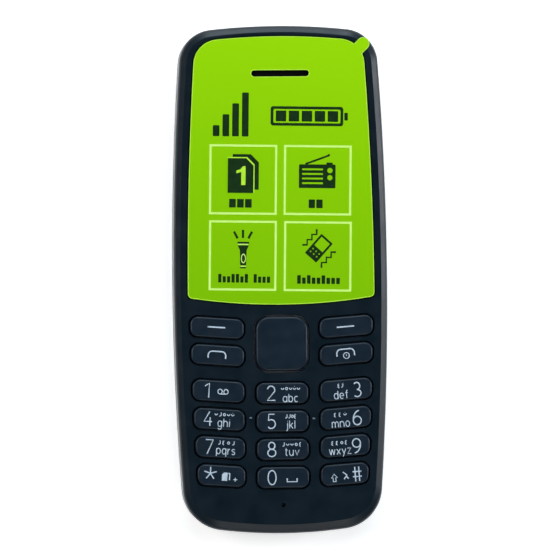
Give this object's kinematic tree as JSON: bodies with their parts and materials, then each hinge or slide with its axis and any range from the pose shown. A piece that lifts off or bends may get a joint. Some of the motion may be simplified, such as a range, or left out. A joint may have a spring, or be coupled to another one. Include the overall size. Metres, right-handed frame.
{
  "type": "feature phone",
  "caption": "Keypad mobile phone with a protective film over its display window, sprung keys, a rocking navigation key, and a battery behind a cover that comes off.",
  "frame": {"origin": "under the middle of the housing, on the surface that the phone's back rests on", "axes": "+Z out of the face, +Y towards the earpiece end, +X to the right seen from the front"},
  "size_m": [0.0496, 0.1178, 0.0145],
  "materials": {
    "front_housing": "satin",
    "rear_housing": "matt",
    "back_cover": "satin",
    "key_cap": "satin",
    "film": "glossy film",
    "window": "polished",
    "clear_plastic": "clear",
    "silicone": "matt",
    "foam": "matt",
    "stiffener": "satin",
    "polyester": "satin",
    "board": "solder mask",
    "steel": "bright",
    "gold_plate": "plated",
    "socket_plastic": "satin",
    "display": "glossy",
    "component": "plated",
    "lamp": "clear",
    "cell": "wrapped",
    "tungsten": "sintered"
  },
  "bodies": {
    "back_cover": {"battery_cover": "back_cover"},
    "handset": {"front_cover": "front_housing", "display_lens": "window", "lens_adhesive": "foam", "earpiece_mesh": "steel", "lcd_gasket": "foam", "lcd_module": "display", "lcd_flex": "polyester", "keymat": "silicone", "dome_sheet": "polyester", "metal_domes": "steel", "keypad_leds": "lamp", "main_board": "board", "rf_shields": "steel", "sim_holder": "steel", "battery_contacts": "socket_plastic", "usb_port": "steel", "audio_jack": "socket_plastic", "microphone": "component", "mic_boot": "silicone", "earpiece_receiver": "component", "loudspeaker": "socket_plastic", "speaker_mesh": "socket_plastic", "vibration_motor": "steel", "motor_sleeve": "silicone", "torch_led": "lamp", "torch_lens": "clear_plastic", "gsm_antenna": "gold_plate", "rear_housing": "rear_housing", "housing_screws": "steel"},
    "battery_pack": {"battery": "cell", "battery_terminals": "gold_plate"},
    "film": {"protective_film": "film"},
    "motor_weight": {"motor_weight": "tungsten"},
    "nav_plunger": {"nav_plunger": "silicone"},
    "nav_pivot": {"nav_pivot": "silicone"},
    "nav_key": {"nav_key": "key_cap", "nav_rocker": "stiffener"},
    "soft_left": {"soft_left": "key_cap"},
    "soft_right": {"soft_right": "key_cap"},
    "key_call": {"key_call": "key_cap"},
    "key_end": {"key_end": "key_cap"},
    "key_1": {"key_1": "key_cap"},
    "key_2": {"key_2": "key_cap"},
    "key_3": {"key_3": "key_cap"},
    "key_4": {"key_4": "key_cap"},
    "key_5": {"key_5": "key_cap"},
    "key_6": {"key_6": "key_cap"},
    "key_7": {"key_7": "key_cap"},
    "key_8": {"key_8": "key_cap"},
    "key_9": {"key_9": "key_cap"},
    "key_star": {"key_star": "key_cap"},
    "key_0": {"key_0": "key_cap"},
    "key_hash": {"key_hash": "key_cap"}
  },
  "joints": [
    {"name": "handset_lift", "type": "slide", "parent": "back_cover", "child": "handset", "axis": [0, 0, 1], "range_m": [0, 0.025]},
    {"name": "battery_lift", "type": "slide", "parent": "back_cover", "child": "battery_pack", "axis": [0, 0, 1], "range_m": [0, 0.012]},
    {"name": "film_peel", "type": "slide", "parent": "handset", "child": "film", "axis": [0, 0, 1], "range_m": [0, 0.02]},
    {"name": "motor_spin", "type": "hinge", "parent": "handset", "child": "motor_weight", "pos_m": [0.01, 0.0365, 0.00513], "axis": [1, 0, 0], "continuous": true},
    {"name": "nav_press", "type": "slide", "parent": "handset", "child": "nav_plunger", "axis": [0, 0, -1], "range_m": [0, 0.00025], "stiffness_N_per_m": 800, "springref_m": -0.0015},
    {"name": "nav_rock_up_down", "type": "hinge", "parent": "nav_plunger", "child": "nav_pivot", "pos_m": [0, -0.01488, 0.01057], "axis": [1, 0, 0], "range_deg": [-1.8, 1.8], "stiffness_Nm_per_rad": 0.2},
    {"name": "nav_rock_sideways", "type": "hinge", "parent": "nav_pivot", "child": "nav_key", "pos_m": [0, -0.01488, 0.01109], "axis": [0, 1, 0], "range_deg": [-1.8, 1.8], "stiffness_Nm_per_rad": 0.2},
    {"name": "soft_left_press", "type": "slide", "parent": "handset", "child": "soft_left", "axis": [0, 0, -1], "range_m": [0, 0.0003], "stiffness_N_per_m": 800, "springref_m": -0.0015},
    {"name": "soft_right_press", "type": "slide", "parent": "handset", "child": "soft_right", "axis": [0, 0, -1], "range_m": [0, 0.0003], "stiffness_N_per_m": 800, "springref_m": -0.0015},
    {"name": "key_call_press", "type": "slide", "parent": "handset", "child": "key_call", "axis": [0, 0, -1], "range_m": [0, 0.0003], "stiffness_N_per_m": 800, "springref_m": -0.0015},
    {"name": "key_end_press", "type": "slide", "parent": "handset", "child": "key_end", "axis": [0, 0, -1], "range_m": [0, 0.0003], "stiffness_N_per_m": 800, "springref_m": -0.0015},
    {"name": "key_1_press", "type": "slide", "parent": "handset", "child": "key_1", "axis": [0, 0, -1], "range_m": [0, 0.0003], "stiffness_N_per_m": 800, "springref_m": -0.0015},
    {"name": "key_2_press", "type": "slide", "parent": "handset", "child": "key_2", "axis": [0, 0, -1], "range_m": [0, 0.0003], "stiffness_N_per_m": 800, "springref_m": -0.0015},
    {"name": "key_3_press", "type": "slide", "parent": "handset", "child": "key_3", "axis": [0, 0, -1], "range_m": [0, 0.0003], "stiffness_N_per_m": 800, "springref_m": -0.0015},
    {"name": "key_4_press", "type": "slide", "parent": "handset", "child": "key_4", "axis": [0, 0, -1], "range_m": [0, 0.0003], "stiffness_N_per_m": 800, "springref_m": -0.0015},
    {"name": "key_5_press", "type": "slide", "parent": "handset", "child": "key_5", "axis": [0, 0, -1], "range_m": [0, 0.0003], "stiffness_N_per_m": 800, "springref_m": -0.0015},
    {"name": "key_6_press", "type": "slide", "parent": "handset", "child": "key_6", "axis": [0, 0, -1], "range_m": [0, 0.0003], "stiffness_N_per_m": 800, "springref_m": -0.0015},
    {"name": "key_7_press", "type": "slide", "parent": "handset", "child": "key_7", "axis": [0, 0, -1], "range_m": [0, 0.0003], "stiffness_N_per_m": 800, "springref_m": -0.0015},
    {"name": "key_8_press", "type": "slide", "parent": "handset", "child": "key_8", "axis": [0, 0, -1], "range_m": [0, 0.0003], "stiffness_N_per_m": 800, "springref_m": -0.0015},
    {"name": "key_9_press", "type": "slide", "parent": "handset", "child": "key_9", "axis": [0, 0, -1], "range_m": [0, 0.0003], "stiffness_N_per_m": 800, "springref_m": -0.0015},
    {"name": "key_star_press", "type": "slide", "parent": "handset", "child": "key_star", "axis": [0, 0, -1], "range_m": [0, 0.0003], "stiffness_N_per_m": 800, "springref_m": -0.0015},
    {"name": "key_0_press", "type": "slide", "parent": "handset", "child": "key_0", "axis": [0, 0, -1], "range_m": [0, 0.0003], "stiffness_N_per_m": 800, "springref_m": -0.0015},
    {"name": "key_hash_press", "type": "slide", "parent": "handset", "child": "key_hash", "axis": [0, 0, -1], "range_m": [0, 0.0003], "stiffness_N_per_m": 800, "springref_m": -0.0015}
  ],
  "couplings": [
    {"joint": "battery_lift", "follows": "handset_lift", "ratio": 0.45}
  ]
}
